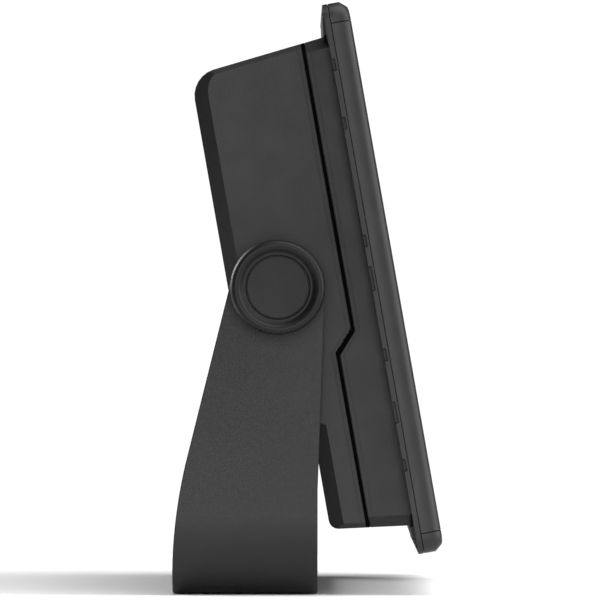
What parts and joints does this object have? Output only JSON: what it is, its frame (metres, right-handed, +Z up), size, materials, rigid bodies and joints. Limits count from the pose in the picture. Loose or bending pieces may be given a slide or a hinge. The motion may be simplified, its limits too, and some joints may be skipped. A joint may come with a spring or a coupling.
{
  "type": "digital photo frame",
  "caption": "Digital photo frame: a leaning screen head with a stepped rear housing, held between the arms of a bent-strip bail stand by round clamp knobs.",
  "frame": {"origin": "centre of the anti-slip pad under the stand, on the surface that the object stands on", "axes": "+Z up, the screen faces -Y, +X to the right as seen from the front"},
  "size_m": [0.3424, 0.1031, 0.2256],
  "materials": {
    "powder_coated_steel": "matte",
    "rubber": "matte",
    "nylon": "satin",
    "steel": "satin",
    "knob_plastic": "matte",
    "trim_plastic": "satin",
    "housing_plastic": "matte",
    "painted_aluminium": "matte",
    "cover_glass": "gloss",
    "lcd": "gloss",
    "backlight": "satin",
    "circuit_board": "satin",
    "key_plastic": "satin",
    "aluminium": "satin",
    "brass": "satin",
    "dark_plastic": "satin",
    "ribbon": "satin",
    "card_plastic": "satin"
  },
  "bodies": {
    "stand": {"bail_stand": "powder_coated_steel", "base_pad": "rubber", "arm_bush_left": "nylon", "arm_bush_right": "nylon"},
    "head": {"backlight": "backlight", "board_screw_lower_inner": "steel", "board_screw_lower_outer": "steel", "board_screw_upper_inner": "steel", "board_screw_upper_outer": "steel", "card_socket": "steel", "chassis_plate": "aluminium", "cover_glass": "cover_glass", "cover_screw_lower_left": "steel", "cover_screw_lower_right": "steel", "cover_screw_upper_left": "steel", "cover_screw_upper_right": "steel", "dc_inlet": "dark_plastic", "display_ribbon": "ribbon", "friction_washer_left": "rubber", "friction_washer_right": "rubber", "front_frame": "housing_plastic", "glass_gasket": "rubber", "heat_sink": "aluminium", "housing_seal": "rubber", "key_board": "circuit_board", "lcd_panel": "lcd", "main_board": "circuit_board", "mid_body": "housing_plastic", "processor": "dark_plastic", "rear_cover": "painted_aluminium", "speaker_left": "dark_plastic", "speaker_right": "dark_plastic", "switch_menu": "dark_plastic", "switch_next": "dark_plastic", "switch_power": "dark_plastic", "switch_previous": "dark_plastic", "thermal_pad": "rubber", "threaded_insert_left": "brass", "threaded_insert_right": "brass", "trim_bottom": "trim_plastic", "trim_left": "trim_plastic", "trim_right": "trim_plastic", "trim_top": "trim_plastic", "usb_socket": "steel"},
    "left_washer": {"outer_washer_left": "steel"},
    "left_knob": {"knob_left": "knob_plastic", "knob_cap_left": "knob_plastic", "knob_stud_left": "steel"},
    "right_washer": {"outer_washer_right": "steel"},
    "right_knob": {"knob_right": "knob_plastic", "knob_cap_right": "knob_plastic", "knob_stud_right": "steel"},
    "power_key": {"power_button": "key_plastic"},
    "key_menu": {"key_menu": "key_plastic"},
    "key_previous": {"key_previous": "key_plastic"},
    "key_next": {"key_next": "key_plastic"},
    "card": {"memory_card": "card_plastic"}
  },
  "joints": [
    {"name": "head_tilt", "type": "hinge", "parent": "stand", "child": "head", "pos_m": [0, -0.0126, 0.1171], "axis": [-1, 0, 0], "range_deg": [-15, 60]},
    {"name": "left_knob_travel", "type": "slide", "parent": "head", "child": "left_washer", "axis": [-1, 0, 0], "range_m": [0, 0.0015]},
    {"name": "left_knob_turn", "type": "hinge", "parent": "left_washer", "child": "left_knob", "pos_m": [-0.1574, -0.0126, 0.1171], "axis": [-1, 0, 0], "range_deg": [0, 540]},
    {"name": "right_knob_travel", "type": "slide", "parent": "head", "child": "right_washer", "axis": [1, 0, 0], "range_m": [0, 0.0015]},
    {"name": "right_knob_turn", "type": "hinge", "parent": "right_washer", "child": "right_knob", "pos_m": [0.1574, -0.0126, 0.1171], "axis": [1, 0, 0], "range_deg": [0, 540]},
    {"name": "power_key_press", "type": "slide", "parent": "head", "child": "power_key", "axis": [0, -0.9848, 0.1736], "range_m": [0, 0.001], "stiffness_N_per_m": 600, "springref_m": -0.0005},
    {"name": "key_menu_press", "type": "slide", "parent": "head", "child": "key_menu", "axis": [0, -0.9848, 0.1736], "range_m": [0, 0.001], "stiffness_N_per_m": 600, "springref_m": -0.0005},
    {"name": "key_previous_press", "type": "slide", "parent": "head", "child": "key_previous", "axis": [0, -0.9848, 0.1736], "range_m": [0, 0.001], "stiffness_N_per_m": 600, "springref_m": -0.0005},
    {"name": "key_next_press", "type": "slide", "parent": "head", "child": "key_next", "axis": [0, -0.9848, 0.1736], "range_m": [0, 0.001], "stiffness_N_per_m": 600, "springref_m": -0.0005},
    {"name": "card_slide", "type": "slide", "parent": "head", "child": "card", "axis": [1, 0, 0], "range_m": [0, 0.026]}
  ],
  "couplings": [
    {"joint": "left_knob_turn", "follows": "left_knob_travel", "rad_per_m": 6283.2},
    {"joint": "right_knob_turn", "follows": "right_knob_travel", "rad_per_m": 6283.2}
  ]
}
